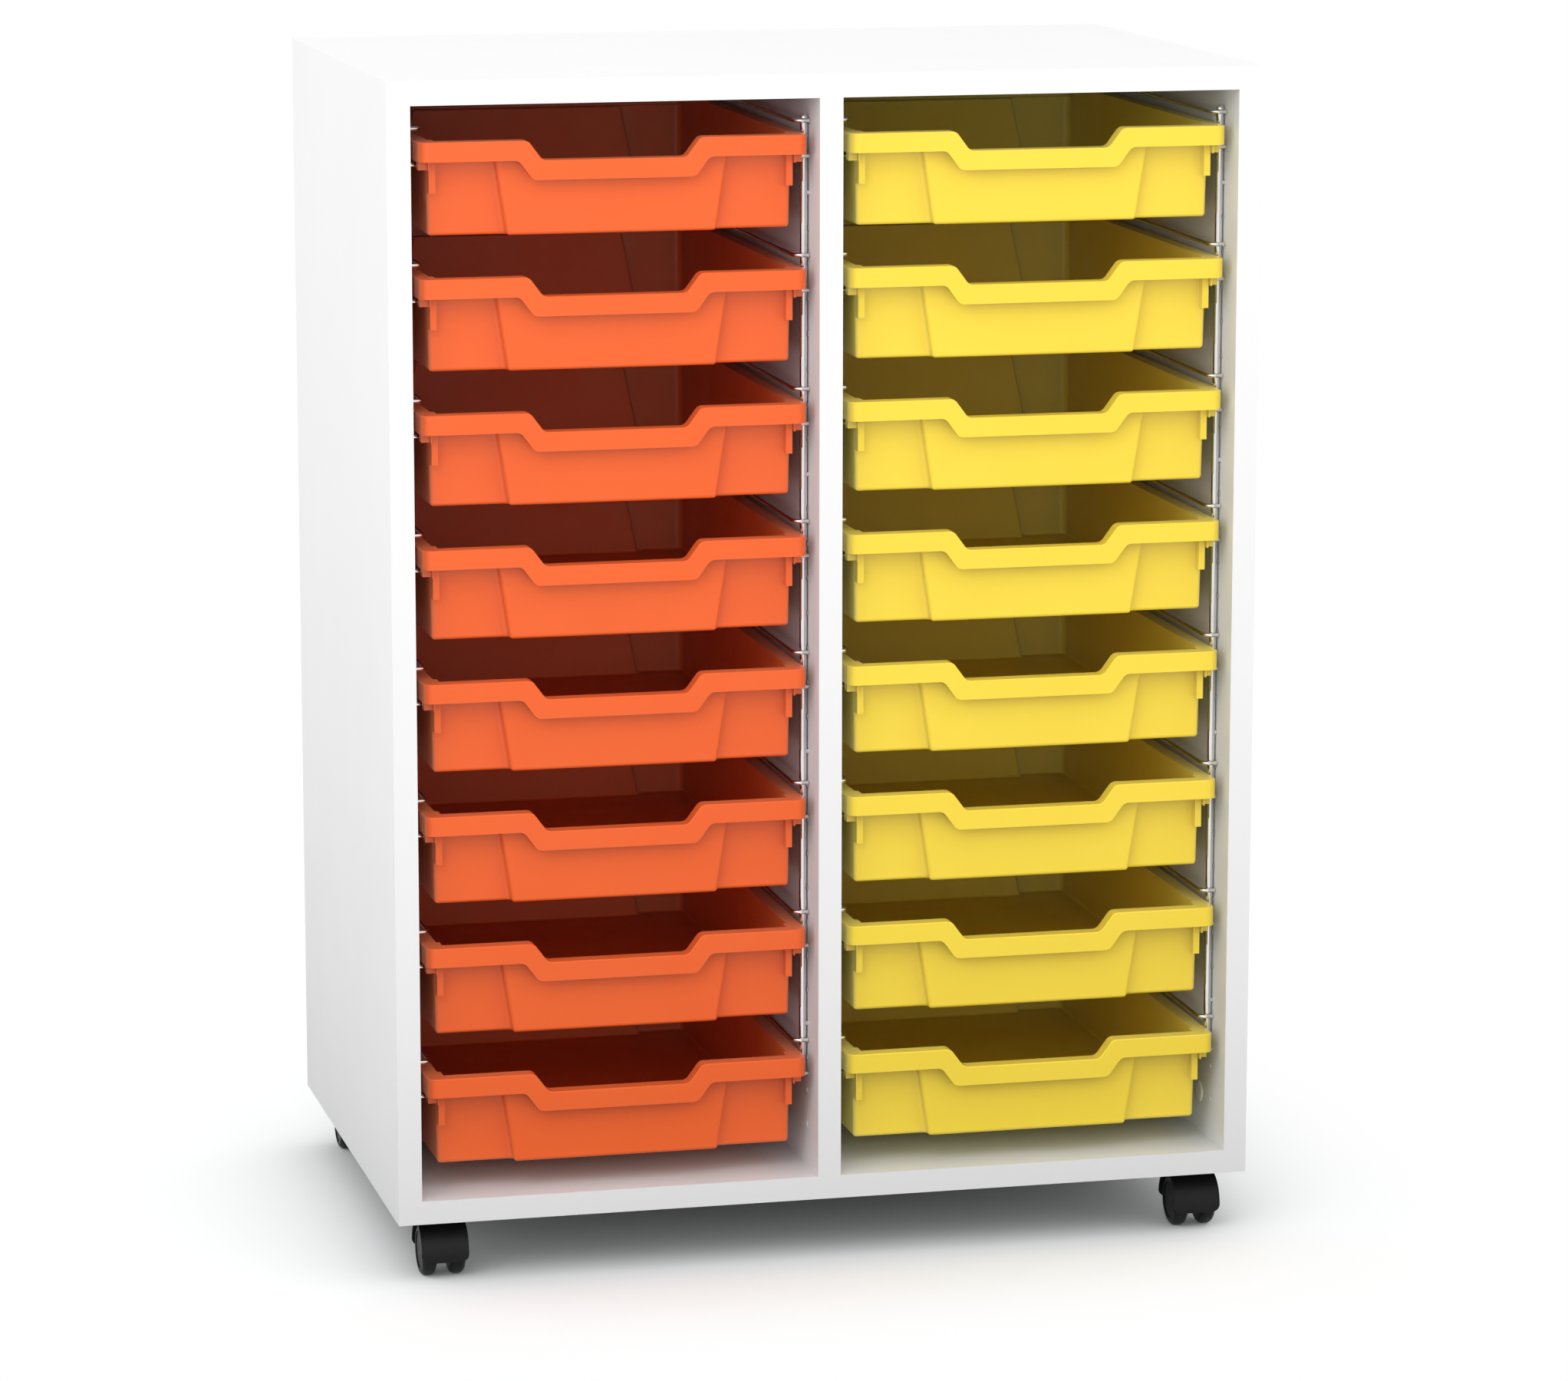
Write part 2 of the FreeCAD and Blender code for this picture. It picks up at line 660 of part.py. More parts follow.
def castor_axle():
    """Steel pin through the spine into both wheels."""
    length = spine_width + 2 * (wheel_side_clearance + axle_depth_in_wheel - shaft_clearance)
    return rod((-length / 2, -castor_trail, wheel_radius), (1, 0, 0), axle_diameter, length)


def plate_hole_offsets():
    """The four screw positions about a castor's swivel axis."""
    reach = plate_hole_spacing / 2
    return [(sx * reach, sy * reach) for sx in (-1, 1) for sy in (-1, 1)]


def castor_screw(clearance):
    """Countersunk screw with its head flush with the plate's underside, upright at the origin."""
    shank = rod((0, 0, plate_bottom_z), (0, 0, 1), screw_diameter + 2 * clearance, screw_length + clearance)
    head = Part.makeCone(screw_head_diameter / 2 + clearance, screw_diameter / 2 + clearance, screw_head_height,
                         V(0, 0, plate_bottom_z), V(0, 0, 1))
    return shank.fuse(head).removeSplitter()


def castor_plate():
    """Fixing plate about its swivel axis, with screw holes and the kingpin's hole."""
    half = plate_size / 2
    plate = rounded_plan_block((-half, -half, plate_bottom_z), (half, half, castor_height), plate_corner_radius)
    screw = castor_screw(fitting_clearance)
    plate = plate.cut([moved(screw, dx, dy) for dx, dy in plate_hole_offsets()])
    return plate.cut(rod((0, 0, plate_bottom_z), (0, 0, 1), kingpin_diameter, plate_thickness))


def kingpin():
    """Pin riveted in the plate that the hood turns on."""
    low = plate_bottom_z - kingpin_depth
    return rod((0, 0, low), (0, 0, 1), kingpin_diameter, castor_height - low)


def screw_holes():
    """Pilot holes in the bottom panel for the castor screws."""
    length = screw_length - plate_thickness + fitting_clearance
    holes = []
    for name, x, y, turn in castor_places():
        for dx, dy in plate_hole_offsets():
            holes.append(rod((x + dx, y + dy, underside_z), (0, 0, 1), screw_diameter, length))
    return holes


def castor_nodes():
    """All castor pieces: groups for the fixed pieces, one node for each moving piece."""
    plates = []
    pins = []
    screws = []
    nodes = {}
    hood = castor_hood()
    for name, x, y, turn in castor_places():
        plates.append(moved(castor_plate(), x, y))
        pins.append(moved(kingpin(), x, y))
        screws += [moved(castor_screw(0.0), x + dx, y + dy) for dx, dy in plate_hole_offsets()]
        nodes["castor_%s_hood" % name] = moved(turned(hood, turn), x, y)
        nodes["castor_%s_axle" % name] = moved(turned(castor_axle(), turn), x, y)
        nodes["castor_%s_wheel_a" % name] = moved(turned(castor_wheel(-1), turn), x, y)
        nodes["castor_%s_wheel_b" % name] = moved(turned(castor_wheel(1), turn), x, y)
    nodes["castor_plates"] = Part.makeCompound(plates)
    nodes["castor_kingpins"] = Part.makeCompound(pins)
    nodes["castor_screws"] = Part.makeCompound(screws)
    return nodes


# ---------------------------------------------------------------- assembly
def all_nodes():
    """Every node of the unit by name."""
    nodes = cabinet_panels()
    nodes["edge_lipping"] = Part.makeCompound(edge_lipping())
    nodes["panel_dowels"] = Part.makeCompound(dowels(0.0))
    nodes["cam_discs"] = Part.makeCompound(cam_discs(0.0))
    nodes["cam_bolts"] = Part.makeCompound(cam_bolts(0.0))
    frame = runner_frame()
    for bay, centre_x in bay_centres.items():
        nodes["runner_frame_%s_bay_left" % bay] = moved(frame, centre_x - bay_width / 2)
        nodes["runner_frame_%s_bay_right" % bay] = moved(mirrored_in_x(frame), centre_x + bay_width / 2)
    nodes.update(tray_nodes())
    nodes.update(castor_nodes())
    return nodes


os.makedirs("parts", exist_ok=True)
for node_name, node_shape in all_nodes().items():
    node_shape.exportStep("parts/%s.step" % node_name)
    print(node_name, len(node_shape.Solids), node_shape.isValid(), round(node_shape.Volume))
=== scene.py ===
"""Looks of the classroom tray storage unit: materials, soft edges, cam caps, floor, light and camera."""

import math

import bmesh
import bpy
from mathutils import Euler, Matrix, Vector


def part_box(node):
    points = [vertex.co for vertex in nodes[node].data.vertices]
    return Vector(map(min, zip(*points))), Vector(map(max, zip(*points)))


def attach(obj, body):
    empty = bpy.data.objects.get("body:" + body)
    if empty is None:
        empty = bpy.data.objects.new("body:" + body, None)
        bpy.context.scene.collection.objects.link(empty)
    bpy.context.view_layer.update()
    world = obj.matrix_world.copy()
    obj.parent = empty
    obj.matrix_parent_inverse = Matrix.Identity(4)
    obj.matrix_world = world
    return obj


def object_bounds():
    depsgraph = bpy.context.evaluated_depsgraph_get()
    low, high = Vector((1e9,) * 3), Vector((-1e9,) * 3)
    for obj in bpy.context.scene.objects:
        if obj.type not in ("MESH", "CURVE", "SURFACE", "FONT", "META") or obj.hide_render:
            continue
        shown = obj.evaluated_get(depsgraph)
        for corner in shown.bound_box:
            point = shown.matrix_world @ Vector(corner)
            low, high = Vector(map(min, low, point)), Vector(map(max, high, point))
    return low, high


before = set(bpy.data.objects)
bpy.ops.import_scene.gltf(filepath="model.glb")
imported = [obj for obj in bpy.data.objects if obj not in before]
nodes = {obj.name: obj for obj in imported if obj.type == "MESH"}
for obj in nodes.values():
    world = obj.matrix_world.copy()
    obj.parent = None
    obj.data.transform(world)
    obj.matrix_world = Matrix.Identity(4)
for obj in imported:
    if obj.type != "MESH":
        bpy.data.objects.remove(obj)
cad_box = [list(corner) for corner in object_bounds()]

# ---------------------------------------------------------------- colours, linear red, green and blue
BOARD_TONE = (0.87, 0.87, 0.868)
BOARD_CLOUD_TONE = (0.855, 0.855, 0.853)
# painted shade: a darker, cooler grey for deep in the bays, standing in for their shade and cancelling the
# warm light thrown back by the trays
BOARD_PAINTED_SHADE_TONE = (0.55, 0.59, 0.63)
ORANGE_TONE = (0.89, 0.128, 0.018)
ORANGE_CLOUD_TONE = (0.87, 0.121, 0.016)
ORANGE_WORN_TONE = (0.92, 0.18, 0.05)
# painted light: a paler, greyer orange for the tray's insides, standing in for light that fills them
ORANGE_PAINTED_LIGHT_TONE = (0.74, 0.36, 0.21)
YELLOW_TONE = (0.96, 0.712, 0.054)
YELLOW_CLOUD_TONE = (0.94, 0.692, 0.049)
YELLOW_WORN_TONE = (0.95, 0.79, 0.12)
# painted light: a paler, greener yellow for the tray's insides, standing in for light that fills them
YELLOW_PAINTED_LIGHT_TONE = (0.80, 0.80, 0.36)
CHROME_TONE = (0.80, 0.80, 0.81)
CHROME_CLOUD_TONE = (0.70, 0.70, 0.72)
ZINC_TONE = (0.62, 0.62, 0.63)
PLATE_TONE = (0.009, 0.009, 0.009)
HOOD_TONE = (0.0065, 0.0065, 0.0065)
WHEEL_TONE = (0.006, 0.006, 0.006)
BLACK_DUST_TONE = (0.055, 0.055, 0.055)
BEECH_TONE = (0.56, 0.36, 0.19)
BEECH_GRAIN_TONE = (0.40, 0.23, 0.11)


def dimmed(tone, share):
    """The colour at a share of its brightness."""
    return tuple(value * share for value in tone)


# ---------------------------------------------------------------- shader building blocks
LOOKUP_SAMPLES = 4  # rays of each bevel or occlusion node
CLOUD_LOW, CLOUD_HIGH = 0.3, 0.7  # the part of the noise that makes soft clouds
HOLLOW_CLOUD_DIP = 0.75  # how much of the painted colour in the hollows is left in its thinnest patches


class Shader:
    """A material with its node tree and short calls for the nodes it needs."""

    def __init__(self, name):
        self.material = bpy.data.materials.new(name)
        self.material.use_nodes = True
        self.tree = self.material.node_tree
        self.surface = self.tree.nodes["Principled BSDF"]
        self.place = self.tree.nodes.new("ShaderNodeTexCoord").outputs["Object"]

    def set(self, **values):
        """Constant values on the shader's own sockets; an underscore stands for a space."""
        for label, value in values.items():
            self.surface.inputs[label.replace("_", " ")].default_value = value

    def link(self, source, target):
        self.tree.links.new(source, target)

    def stretched(self, scale):
        """Object coordinates scaled by (x, y, z)."""
        mapping = self.tree.nodes.new("ShaderNodeMapping")
        mapping.inputs["Scale"].default_value = scale
        self.link(self.place, mapping.inputs["Vector"])
        return mapping.outputs["Vector"]

    def noise(self, scale, detail=4.0, roughness=0.55, vector=None):
        """Noise between 0 and 1; scale is in cells per metre."""
        texture = self.tree.nodes.new("ShaderNodeTexNoise")
        texture.inputs["Scale"].default_value = scale
        texture.inputs["Detail"].default_value = detail
        texture.inputs["Roughness"].default_value = roughness
        self.link(vector or self.place, texture.inputs["Vector"])
        return texture.outputs["Fac"]

    def ramp(self, source, low, high, from_value=0.0, to_value=1.0, smooth=False):
        """source between low and high, mapped to from_value..to_value and held outside."""
        node = self.tree.nodes.new("ShaderNodeMapRange")
        node.interpolation_type = "SMOOTHSTEP" if smooth else "LINEAR"
        node.inputs["From Min"].default_value = low
        node.inputs["From Max"].default_value = high
        node.inputs["To Min"].default_value = from_value
        node.inputs["To Max"].default_value = to_value
        self.link(source, node.inputs["Value"])
        return node.outputs["Result"]

    def math(self, operation, a, b=0.0):
        """A Math node; a and b are each a number or a socket."""
        node = self.tree.nodes.new("ShaderNodeMath")
        node.operation = operation
        for value, socket in ((a, node.inputs[0]), (b, node.inputs[1])):
            if isinstance(value, (int, float)):
                socket.default_value = value
            else:
                self.link(value, socket)
        return node.outputs[0]

    def blend(self, factor, a, b):
        """Mix of two colours; each is a tuple or a socket."""
        node = self.tree.nodes.new("ShaderNodeMix")
        node.data_type = "RGBA"
        self.link(factor, node.inputs["Factor"])
        for value, socket in ((a, node.inputs[6]), (b, node.inputs[7])):
            if isinstance(value, tuple):
                socket.default_value = (*value, 1.0)
            else:
                self.link(value, socket)
        return node.outputs[2]

    def colour(self, socket):
        self.link(socket, self.surface.inputs["Base Color"])

    def roughness(self, socket):
        self.link(socket, self.surface.inputs["Roughness"])

    def bump(self, height, strength, distance=0.0002):
        """Fine relief from height; distance is in metres."""
        node = self.tree.nodes.new("ShaderNodeBump")
        node.inputs["Strength"].default_value = strength
        node.inputs["Distance"].default_value = distance
        self.link(height, node.inputs["Height"])
        self.link(node.outputs["Normal"], self.surface.inputs["Normal"])

    def clouds(self, scale, detail, from_value=0.0, to_value=1.0):
        """Soft clouds between from_value and to_value."""
        return self.ramp(self.noise(scale, detail), CLOUD_LOW, CLOUD_HIGH, from_value, to_value)

    def wear(self, radius):
        """1 along convex edges and 0 on flats, broken up by noise."""
        bevel = self.tree.nodes.new("ShaderNodeBevel")
        bevel.samples = LOOKUP_SAMPLES
        bevel.inputs["Radius"].default_value = radius
        geometry = self.tree.nodes.new("ShaderNodeNewGeometry")
        dot = self.tree.nodes.new("ShaderNodeVectorMath")
        dot.operation = "DOT_PRODUCT"
        self.link(bevel.outputs["Normal"], dot.inputs[0])
        self.link(geometry.outputs["Normal"], dot.inputs[1])
        edge = self.ramp(dot.outputs["Value"], low=0.995, high=0.9)
        patches = self.ramp(self.noise(60.0, 6.0), low=0.45, high=0.7)
        return self.math("MULTIPLY", edge, patches)

    def hollow(self, reach, open_share, shut_share, strength):
        """strength in hollows, where shade falls, and 0 in the open, with a cloudy edge between; the materials
        use it to paint shade and light into the hollows.

        The shares are how much of the sky around a point is free of things nearer than reach."""
        # occlusion finds the hollows where shade falls, so colour put on with this mask is painted light or
        # painted shade
        shade = self.tree.nodes.new("ShaderNodeAmbientOcclusion")
        shade.samples = LOOKUP_SAMPLES
        shade.inputs["Distance"].default_value = reach
        deep = self.ramp(shade.outputs["AO"], low=open_share, high=shut_share)
        return self.math("MULTIPLY", deep, self.clouds(24.0, 5.0, strength * HOLLOW_CLOUD_DIP, strength))


# ---------------------------------------------------------------- materials
def board_material(name, tone, cloud_tone, painted_hollow_tone):
    """Melamine-faced board: off-white, a fine pearl texture, an uneven sheen and painted shade in the bays."""
    s = Shader(name)
    base = s.blend(s.clouds(3.0, 3.0), tone, cloud_tone)
    # painted shade: darker, cooler grey deep in the bays, placed by occlusion
    with_painted_hollows = s.blend(s.hollow(reach=0.20, open_share=0.62, shut_share=0.15, strength=0.34), base, painted_hollow_tone)
    fleck = s.ramp(s.noise(900.0, 2.0), low=0.62, high=0.75)
    s.colour(s.blend(s.math("MULTIPLY", fleck, 0.06), with_painted_hollows, dimmed(tone, 0.8)))
    s.roughness(s.clouds(14.0, 5.0, 0.40, 0.52))
    s.bump(s.noise(1400.0, 3.0, 0.6), strength=0.10)
    s.set(IOR=1.5)
    return s.material


def edging_material(name, tone):
    """Plastic edge strip, smoother than the board, with light scuffs along its corners."""
    s = Shader(name)
    base = s.blend(s.clouds(5.0, 4.0), tone, dimmed(tone, 0.985))
    scuffs = s.math("MULTIPLY", s.wear(radius=0.0008), 0.25)
    s.colour(s.blend(scuffs, base, dimmed(tone, 0.9)))
    s.roughness(s.clouds(30.0, 5.0, 0.34, 0.46))
    s.bump(s.noise(420.0, 3.0), strength=0.06, distance=0.0003)
    return s.material


def tray_material(name, tone, cloud_tone, worn_tone, painted_hollow_tone):
    """Moulded tray plastic: fine sparked texture, flow clouds, lighter rubbed edges, painted light in the
    insides and painted shade in the creases.
    """
    s = Shader(name)
    cloud = s.ramp(s.noise(11.0, 5.0), low=0.32, high=0.68)
    base = s.blend(cloud, tone, cloud_tone)
    # painted light: a paler, greyer colour in the tray's insides, placed by occlusion
    with_painted_hollows = s.blend(s.hollow(reach=0.11, open_share=0.53, shut_share=0.26, strength=0.62), base, painted_hollow_tone)
    # painted shade: darker colour in creases, recesses and under the rim
    crease_shade_mask = s.hollow(reach=0.025, open_share=0.92, shut_share=0.45, strength=0.34)
    crease_shaded = s.blend(crease_shade_mask, with_painted_hollows, dimmed(tone, 0.55))
    rubbed = s.math("MULTIPLY", s.wear(radius=0.0010), 0.30)
    s.colour(s.blend(rubbed, crease_shaded, worn_tone))
    along_y = s.stretched((1.0, 0.06, 1.0))
    scratches = s.ramp(s.noise(90.0, 6.0, 0.7, along_y), low=0.60, high=0.75, from_value=0.0, to_value=0.10)
    s.roughness(s.math("ADD", s.clouds(25.0, 4.0, 0.36, 0.46), scratches))
    s.bump(s.noise(2200.0, 2.0, 0.6), strength=0.16)
    s.set(IOR=1.49, Specular_IOR_Level=0.4)
    return s.material


def chrome_material(name, tone, cloud_tone):
    """Bright chromed wire with a faint drawn grain."""
    s = Shader(name)
    s.colour(s.blend(s.clouds(40.0, 5.0), tone, cloud_tone))
    s.roughness(s.clouds(160.0, 5.0, 0.03, 0.10))
    s.bump(s.noise(700.0, 3.0), strength=0.05)
    s.set(Metallic=1.0)
    return s.material


def zinc_material(name, tone):
    """Zinc-plated steel with a mottled spangle."""
    s = Shader(name)
    mottled = s.ramp(s.noise(220.0, 5.0), low=0.35, high=0.65)
    s.colour(s.blend(mottled, tone, dimmed(tone, 0.8)))
    s.roughness(s.clouds(300.0, 4.0, 0.27, 0.43))
    s.bump(s.noise(900.0, 3.0), strength=0.08)
    s.set(Metallic=1.0)
    return s.material


def painted_steel_material(name, tone):
    """Black coated pressed steel with an orange-peel surface."""
    s = Shader(name)
    s.colour(s.blend(s.clouds(60.0, 5.0), tone, dimmed(tone, 1.5)))
    s.roughness(s.clouds(120.0, 4.0, 0.35, 0.5))
    s.bump(s.noise(800.0, 2.0), strength=0.15)
    s.set(Specular_IOR_Level=0.25)
    return s.material


def black_plastic_material(name, tone, dullness):
    """Black moulded nylon: satin, with dusty grey where it is rubbed."""
    s = Shader(name)
    base = s.blend(s.clouds(45.0, 5.0), tone, dimmed(tone, 1.25))
    dust = s.math("MULTIPLY", s.wear(radius=0.0008), 0.30)
    s.colour(s.blend(dust, base, BLACK_DUST_TONE))
    s.roughness(s.clouds(150.0, 4.0, dullness - 0.07, dullness + 0.07))
    s.bump(s.noise(1800.0, 2.0), strength=0.14)
    s.set(Specular_IOR_Level=0.2)
    return s.material


def beech_material(name, tone, grain_tone):
    """Bare beech with fine grain along the dowel."""
    s = Shader(name)
    grain = s.noise(160.0, 6.0, 0.65, s.stretched((4.0, 4.0, 0.25)))
    s.colour(s.blend(s.ramp(grain, low=0.35, high=0.65), tone, grain_tone))
    s.roughness(s.ramp(grain, low=CLOUD_LOW, high=CLOUD_HIGH, from_value=0.55, to_value=0.7))
    s.bump(grain, strength=0.2, distance=0.0003)
    return s.material


board = board_material("melamine_board", BOARD_TONE, BOARD_CLOUD_TONE, BOARD_PAINTED_SHADE_TONE)
edging = edging_material("board_edging", BOARD_TONE)
orange = tray_material("tray_orange", ORANGE_TONE, ORANGE_CLOUD_TONE, ORANGE_WORN_TONE, ORANGE_PAINTED_LIGHT_TONE)
yellow = tray_material("tray_yellow", YELLOW_TONE, YELLOW_CLOUD_TONE, YELLOW_WORN_TONE, YELLOW_PAINTED_LIGHT_TONE)
chrome = chrome_material("chrome_wire", CHROME_TONE, CHROME_CLOUD_TONE)
zinc = zinc_material("zinc_steel", ZINC_TONE)
plate_black = painted_steel_material("plate_black", PLATE_TONE)
hood_black = black_plastic_material("hood_black", HOOD_TONE, dullness=0.48)
wheel_black = black_plastic_material("wheel_black", WHEEL_TONE, dullness=0.44)
beech = beech_material("beech", BEECH_TONE, BEECH_GRAIN_TONE)


def finish_for(name):
    """The material of a node, by its name."""
    if name.startswith("tray_left"):
        return orange
    if name.startswith("tray_right"):
        return yellow
    if name.startswith("runner_frame"):
        return chrome
    if name == "edge_lipping":
        return edging
    if name == "panel_dowels":
        return beech
    if name == "castor_plates":
        return plate_black
    if name.endswith("_hood"):
        return hood_black
    if "_wheel_" in name:
        return wheel_black
    if name.endswith("_axle") or name in ("castor_kingpins", "castor_screws", "cam_discs", "cam_bolts"):
        return zinc
    return board


for name, node in nodes.items():
    node.data.materials.clear()
    node.data.materials.append(finish_for(name))


# ---------------------------------------------------------------- soft edges of the boards
EDGE_WIDTH = 0.0005
EDGE_SEGMENTS = 2
EDGE_ANGLE = 60


def soften(node):
    """Small rounded edges as a modifier; the mesh itself stays as packed."""
    bevel = node.modifiers.new("soft_edges", "BEVEL")
    bevel.width = EDGE_WIDTH
    bevel.segments = EDGE_SEGMENTS
    bevel.limit_method = "ANGLE"
    bevel.angle_limit = math.radians(EDGE_ANGLE)
    bevel.harden_normals = True
    bevel.use_clamp_overlap = True


for name in ("top_panel", "bottom_panel", "left_side_panel", "right_side_panel", "edge_lipping"):
    soften(nodes[name])


# ---------------------------------------------------------------- caps over the cam fittings
CAM_RADIUS = 0.0075
CAP_SEGMENTS = 40
CAP_PROFILE = (  # radius, height above the board's face
    (0.0085, 0.00002),
    (0.0085, 0.00040),
    (0.0081, 0.00080),
    (0.0072, 0.00108),
    (0.0050, 0.00125),
    (0.0026, 0.00130),
    (0.0019, 0.00112),
)
CAP_DIMPLE = 0.00108


def add_cap(shape, face_x, side, y, z):
    """One domed cap with a shallow dimple on an upright's face; side is the way the face looks along X."""
    rings = []
    for radius, height in CAP_PROFILE:
        ring = []
        for step in range(CAP_SEGMENTS):
            angle = 2 * math.pi * step / CAP_SEGMENTS
            place = (face_x + side * height, y + radius * math.cos(angle), z + radius * math.sin(angle))
            ring.append(shape.verts.new(place))
        rings.append(ring)
    for lower, upper in zip(rings, rings[1:]):
        for step in range(CAP_SEGMENTS):
            after = (step + 1) % CAP_SEGMENTS
            shape.faces.new((lower[step], lower[after], upper[after], upper[step]))
    middle = shape.verts.new((face_x + side * CAP_DIMPLE, y, z))
    for step in range(CAP_SEGMENTS):
        shape.faces.new((rings[-1][step], rings[-1][(step + 1) % CAP_SEGMENTS], middle))
    shape.faces.new(rings[0][::-1])


def cam_caps():
    """White plastic caps that hide the cam fittings in the uprights."""
    low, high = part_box("cam_discs")
    shape = bmesh.new()
    faces = (
        (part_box("left_side_panel")[1][0], 1),
        (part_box("centre_divider")[1][0], 1),
        (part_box("right_side_panel")[0][0], -1),
    )
    for face_x, side in faces:
        for y in (low[1] + CAM_RADIUS, high[1] - CAM_RADIUS):
            for z in (low[2] + CAM_RADIUS, high[2] - CAM_RADIUS):
                add_cap(shape, face_x, side, y, z)
    bmesh.ops.recalc_face_normals(shape, faces=shape.faces)
    for face in shape.faces:
        face.smooth = len(face.verts) < CAP_SEGMENTS
    mesh = bpy.data.meshes.new("cam_cover_caps")
    shape.to_mesh(mesh)
    shape.free()
    piece = bpy.data.objects.new("cam_cover_caps", mesh)
    bpy.context.scene.collection.objects.link(piece)
    mesh.materials.append(edging)
    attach(piece, "cabinet")


cam_caps()


# ---------------------------------------------------------------- floor and backdrop
FLOOR_SIZE = 60.0
FLOOR_TONE = (0.930, 0.942, 0.945)
FLOOR_BOUNCE_TONE = (0.02, 0.02, 0.02)  # what the floor throws back onto the object
FADE_CENTRE = (-0.05, 0.04)
FADE_END = 0.30  # distance outside the footprint where the floor that is seen has run into the backdrop
BOUNCE_FADE_END = 1.30  # the same for the floor that lights the object
BACKDROP_STRENGTH = 1.0


def seen_directly(tree):
    """1 for rays that show the backdrop: from the camera, or mirrored or refracted by the object."""
    path = tree.nodes.new("ShaderNodeLightPath")
    either = tree.nodes.new("ShaderNodeMath")
    either.operation = "MAXIMUM"
    tree.links.new(path.outputs["Is Camera Ray"], either.inputs[0])
    tree.links.new(path.outputs["Is Glossy Ray"], either.inputs[1])
    any_of = tree.nodes.new("ShaderNodeMath")
    any_of.operation = "MAXIMUM"
    tree.links.new(either.outputs[0], any_of.inputs[0])
    tree.links.new(path.outputs["Is Transmission Ray"], any_of.inputs[1])
    return any_of.outputs[0]


def outside_footprint(s):
    """Distance along the floor from the cabinet's footprint, shifted to FADE_CENTRE."""
    high = Vector(cad_box[1])
    split = s.tree.nodes.new("ShaderNodeSeparateXYZ")
    s.link(s.place, split.inputs[0])
    squares = []
    for axis, centre, half in (("X", FADE_CENTRE[0], high.x), ("Y", FADE_CENTRE[1], high.y)):
        away = s.math("ABSOLUTE", s.math("SUBTRACT", split.outputs[axis], centre))
        beyond = s.math("MAXIMUM", s.math("SUBTRACT", away, half), 0.0)
        squares.append(s.math("MULTIPLY", beyond, beyond))
    return s.math("SQRT", s.math("ADD", *squares))


def floor_material():
    """Pale matt floor that keeps the shadow near the cabinet and runs into the white backdrop away from it."""
    s = Shader("pale_floor")
    s.set(Roughness=1.0, Specular_IOR_Level=0.0)
    direct = seen_directly(s.tree)
    s.colour(s.blend(direct, FLOOR_BOUNCE_TONE, FLOOR_TONE))
    distance = outside_footprint(s)
    fade_seen = s.ramp(distance, low=0.0, high=FADE_END, smooth=True)
    fade_lit = s.ramp(distance, low=0.0, high=BOUNCE_FADE_END, smooth=True)
    fade = s.math("ADD", fade_lit, s.math("MULTIPLY", direct, s.math("SUBTRACT", fade_seen, fade_lit)))
    white = s.tree.nodes.new("ShaderNodeEmission")
    white.inputs["Strength"].default_value = BACKDROP_STRENGTH
    mix = s.tree.nodes.new("ShaderNodeMixShader")
    s.link(fade, mix.inputs["Fac"])
    s.link(s.surface.outputs["BSDF"], mix.inputs[1])
    s.link(white.outputs["Emission"], mix.inputs[2])
    s.link(mix.outputs["Shader"], s.tree.nodes["Material Output"].inputs["Surface"])
    return s.material


bpy.ops.mesh.primitive_plane_add(size=FLOOR_SIZE, location=(0.0, 0.0, 0.0))
floor = bpy.context.object
floor.name = "floor"
floor.data.materials.append(floor_material())


# ---------------------------------------------------------------- light
HORIZON_STRENGTH = 1.01
ZENITH_STRENGTH = 1.06
KEY_POWER = 20.0
KEY_SIZE = 2.0
KEY_PLACE = (-1.8, -2.4, 2.2)
FILL_POWER = 25.0
FILL_SIZE = 1.2
FILL_PLACE = (-1.0, -4.7, 1.4)
SIDE_POWER = 3.5
SIDE_SIZE = 1.5
SIDE_PLACE = (-3.0, 0.9, 2.0)
LIGHT_TARGET = (0.0, 0.0, 0.8)


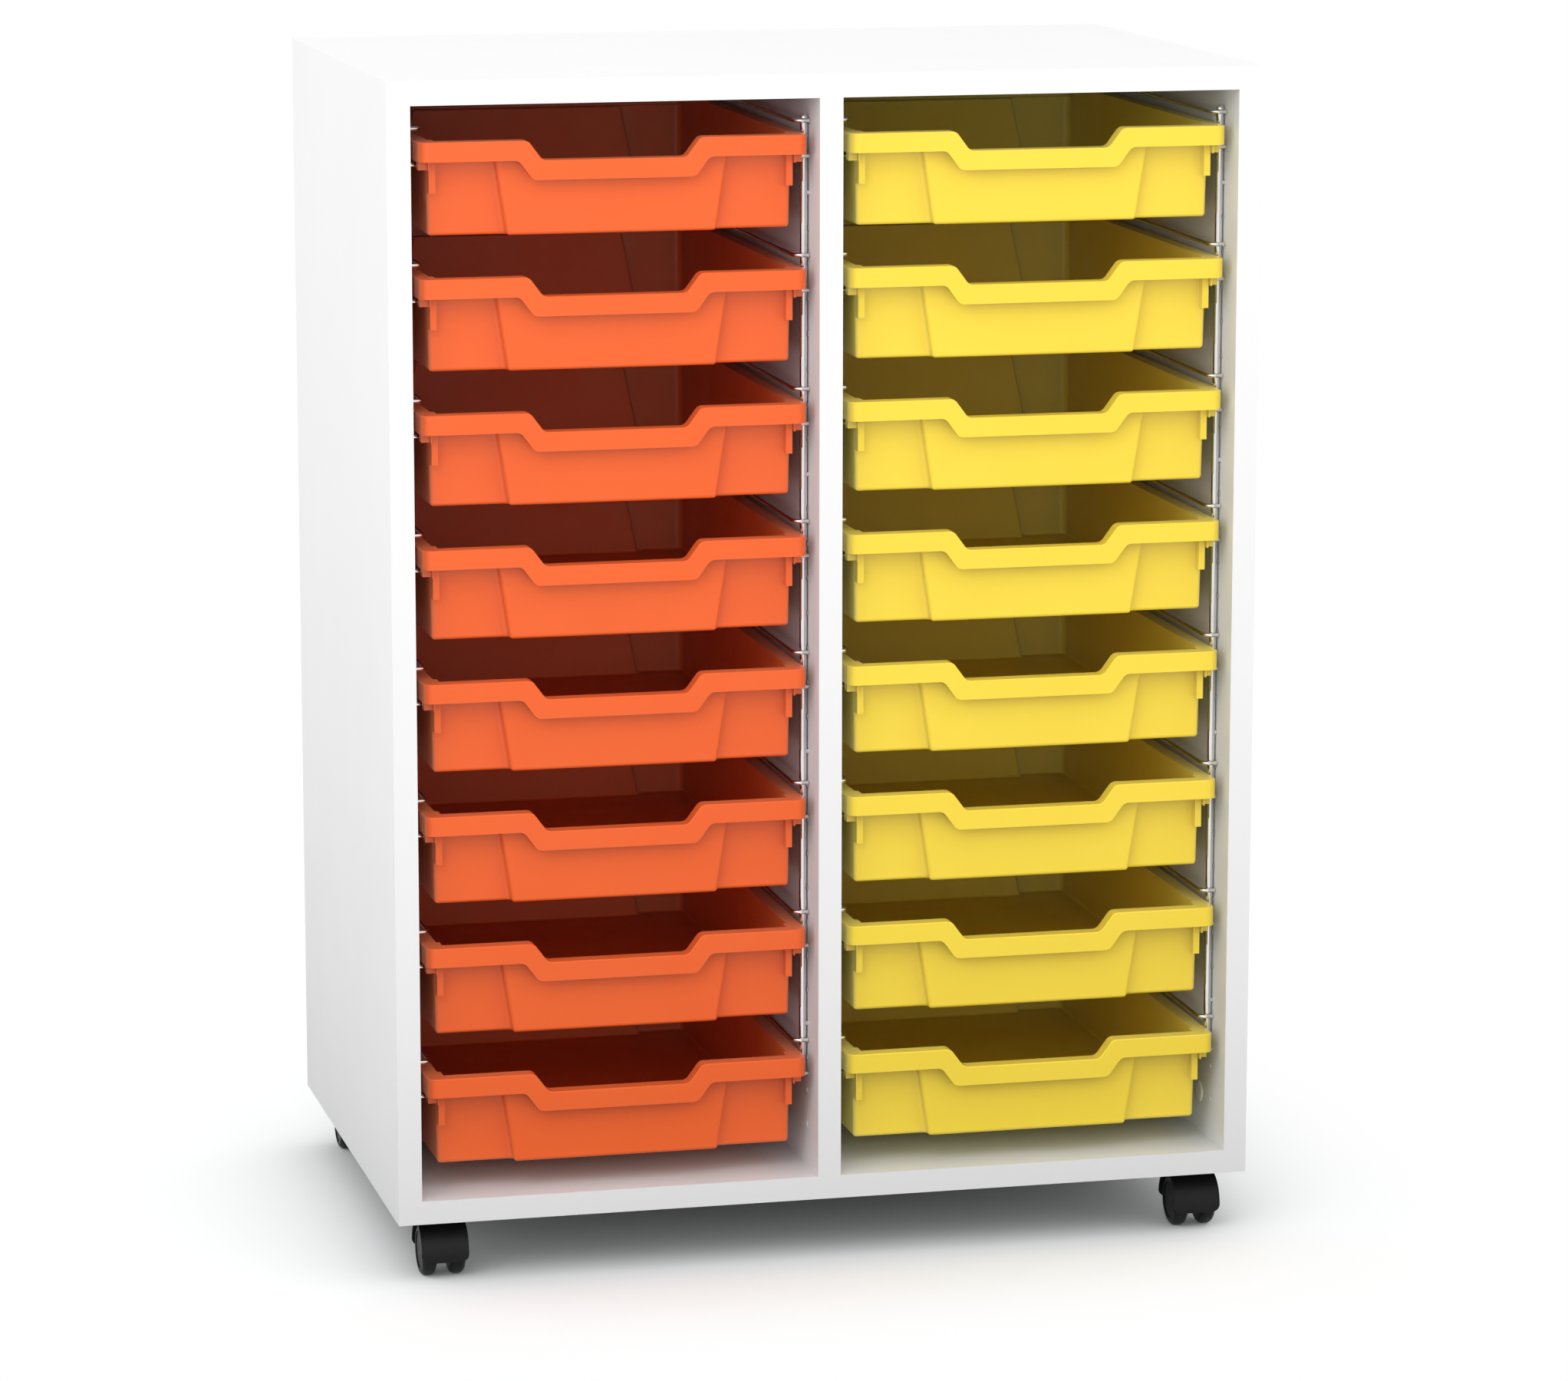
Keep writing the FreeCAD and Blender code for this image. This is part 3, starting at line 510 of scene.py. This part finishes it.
def studio_world():
    """White light from all round, stronger from above, with a white backdrop where it is seen directly."""
    world = bpy.data.worlds.new("studio")
    bpy.context.scene.world = world
    world.use_nodes = True
    tree = world.node_tree
    tree.nodes.clear()
    split = tree.nodes.new("ShaderNodeSeparateXYZ")
    tree.links.new(tree.nodes.new("ShaderNodeTexCoord").outputs["Generated"], split.inputs[0])
    height = tree.nodes.new("ShaderNodeMapRange")
    height.inputs["To Min"].default_value = HORIZON_STRENGTH
    height.inputs["To Max"].default_value = ZENITH_STRENGTH
    tree.links.new(split.outputs["Z"], height.inputs["Value"])
    light = tree.nodes.new("ShaderNodeBackground")
    backdrop = tree.nodes.new("ShaderNodeBackground")
    for background in (light, backdrop):
        background.inputs["Color"].default_value = (1.0, 1.0, 1.0, 1.0)
        background.inputs["Strength"].default_value = BACKDROP_STRENGTH
    tree.links.new(height.outputs["Result"], light.inputs["Strength"])
    mix = tree.nodes.new("ShaderNodeMixShader")
    tree.links.new(seen_directly(tree), mix.inputs["Fac"])
    tree.links.new(light.outputs["Background"], mix.inputs[1])
    tree.links.new(backdrop.outputs["Background"], mix.inputs[2])
    output = tree.nodes.new("ShaderNodeOutputWorld")
    tree.links.new(mix.outputs["Shader"], output.inputs["Surface"])


def area_light(name, place, size, power):
    """Soft square light aimed at LIGHT_TARGET."""
    data = bpy.data.lights.new(name, "AREA")
    data.shape = "SQUARE"
    data.size = size
    data.energy = power
    light = bpy.data.objects.new(name, data)
    bpy.context.scene.collection.objects.link(light)
    light.location = place
    aim = Vector(LIGHT_TARGET) - Vector(place)
    light.rotation_euler = aim.to_track_quat("-Z", "Y").to_euler()


studio_world()
area_light("key", KEY_PLACE, KEY_SIZE, KEY_POWER)
area_light("fill", FILL_PLACE, FILL_SIZE, FILL_POWER)
area_light("side", SIDE_PLACE, SIDE_SIZE, SIDE_POWER)


# ---------------------------------------------------------------- camera, solved from the photograph
IMAGE_WIDTH = 2044
FOCAL_PIXELS = 7626.1
SENSOR_WIDTH = 36.0
CLIP_END = 100.0
CAMERA_PLACE = (-1.1243, -4.7040, 1.3397)
CAMERA_TURN = 13.6483  # degrees to the right of +Y
CAMERA_DROP = 10.6658  # degrees below level
CAMERA_ROLL = 0.0385


def add_camera():
    """The camera at the photograph's viewing angle, without lens shift."""
    data = bpy.data.cameras.new("camera")
    data.sensor_fit = "HORIZONTAL"
    data.sensor_width = SENSOR_WIDTH
    data.lens = FOCAL_PIXELS / IMAGE_WIDTH * SENSOR_WIDTH
    data.clip_end = CLIP_END
    camera = bpy.data.objects.new("camera", data)
    bpy.context.scene.collection.objects.link(camera)
    camera.location = CAMERA_PLACE
    aim = Euler((math.radians(90.0 - CAMERA_DROP), 0.0, math.radians(-CAMERA_TURN))).to_matrix()
    camera.rotation_euler = (aim @ Matrix.Rotation(math.radians(CAMERA_ROLL), 3, "Z")).to_euler()
    bpy.context.scene.camera = camera


add_camera()
bpy.context.scene.view_settings.view_transform = "Standard"

bpy.context.view_layer.update()
